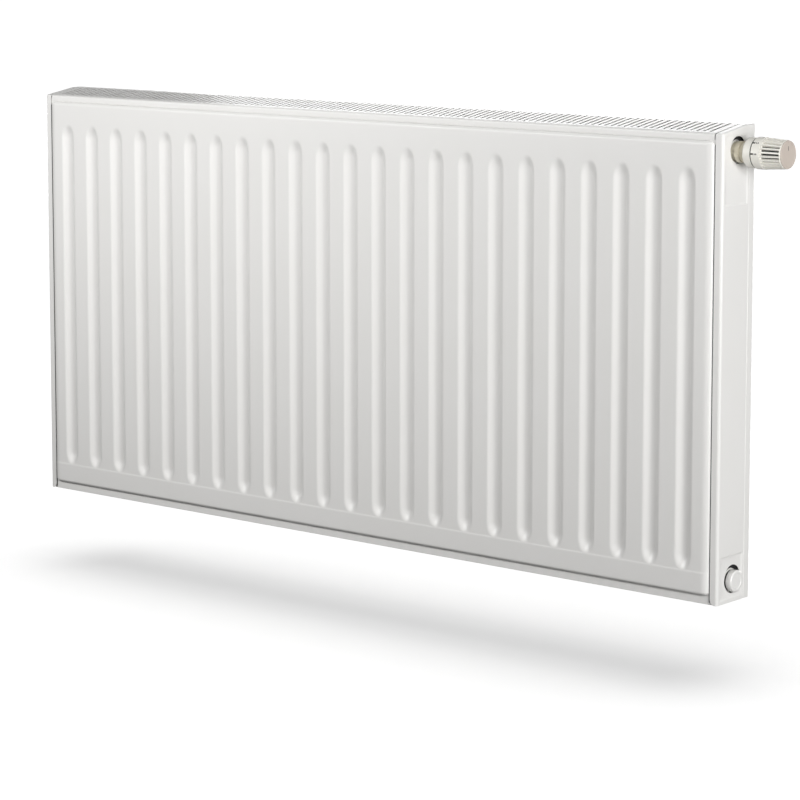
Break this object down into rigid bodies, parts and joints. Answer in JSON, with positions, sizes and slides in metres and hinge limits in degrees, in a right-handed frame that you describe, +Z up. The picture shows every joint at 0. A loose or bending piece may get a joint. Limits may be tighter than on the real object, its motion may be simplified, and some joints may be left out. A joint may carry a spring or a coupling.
{
  "type": "panel radiator with thermostatic valve",
  "caption": "White pressed-steel panel radiator with vertical grooves, side covers, slotted top grille, built-in thermostatic valve head and wall brackets.",
  "frame": {"origin": "on the wall plane behind the radiator, at mid length, level with the radiator's bottom edge", "axes": "+X along the length, to the right seen from the room, towards the valve head; +Y into the wall; +Z up"},
  "size_m": [1.2795, 0.11, 0.6],
  "materials": {
    "white_enamel": "white powder coat over pressed steel sheet, satin gloss",
    "bare_steel": "machined steel",
    "galvanised_steel": "zinc-coated steel strip",
    "nickel_plate": "nickel plate, turned",
    "valve_brass": "turned brass",
    "cream_abs": "moulded cream-white ABS",
    "pale_grey_abs": "moulded pale grey plastic",
    "black_rubber": "moulded rubber"
  },
  "bodies": {
    "radiator": {"front_panel_outer_sheet": "white_enamel", "front_panel_inner_sheet": "white_enamel", "rear_panel_inner_sheet": "white_enamel", "rear_panel_outer_sheet": "white_enamel", "convector_sheet": "white_enamel", "valve_tee": "white_enamel", "lower_right_tee": "white_enamel", "upper_left_tee": "white_enamel", "lower_left_tee": "white_enamel", "riser_pipe": "white_enamel", "supply_nipple": "bare_steel", "return_nipple": "bare_steel", "lower_right_plug": "white_enamel", "lower_right_seal": "black_rubber", "lower_left_plug": "white_enamel", "lower_left_seal": "black_rubber", "air_vent_plug": "nickel_plate", "air_vent_seal": "black_rubber", "valve_insert": "valve_brass", "union_nut": "cream_abs", "head_base": "cream_abs", "side_cover_right": "white_enamel", "side_cover_left": "white_enamel", "top_grille": "white_enamel", "grille_clip": "galvanised_steel", "wall_bracket_right": "galvanised_steel", "wall_bracket_left": "galvanised_steel", "upper_lug_right": "white_enamel", "lower_lug_right": "white_enamel", "upper_lug_left": "white_enamel", "lower_lug_left": "white_enamel", "upper_hook_sleeve_right": "pale_grey_abs", "lower_hook_sleeve_right": "pale_grey_abs", "upper_hook_sleeve_left": "pale_grey_abs", "lower_hook_sleeve_left": "pale_grey_abs"},
    "handwheel": {"scale_collar": "cream_abs", "hand_grip": "cream_abs", "end_cap": "pale_grey_abs"},
    "sensor": {"sensor_capsule": "nickel_plate", "pressure_pin": "valve_brass"},
    "spindle": {"valve_spindle": "nickel_plate", "return_spring": "nickel_plate"},
    "vent_screw": {"air_vent_screw": "valve_brass"}
  },
  "joints": [
    {"name": "head_turn", "type": "hinge", "parent": "radiator", "child": "handwheel", "pos_m": [0.6, -0.07, 0.567], "axis": [1, 0, 0], "range_deg": [-150, 150]},
    {"name": "sensor_travel", "type": "slide", "parent": "radiator", "child": "sensor", "axis": [1, 0, 0], "range_m": [-0.0015, 0.0015]},
    {"name": "spindle_travel", "type": "slide", "parent": "radiator", "child": "spindle", "axis": [1, 0, 0], "range_m": [-0.0015, 0.0015]},
    {"name": "vent_screw_turn", "type": "hinge", "parent": "radiator", "child": "vent_screw", "pos_m": [-0.6, -0.07, 0.567], "axis": [-1, 0, 0], "range_deg": [0, 360]}
  ],
  "couplings": [
    {"joint": "sensor_travel", "follows": "head_turn", "m_per_rad": 0.00057296},
    {"joint": "spindle_travel", "follows": "head_turn", "m_per_rad": 0.00057296}
  ]
}
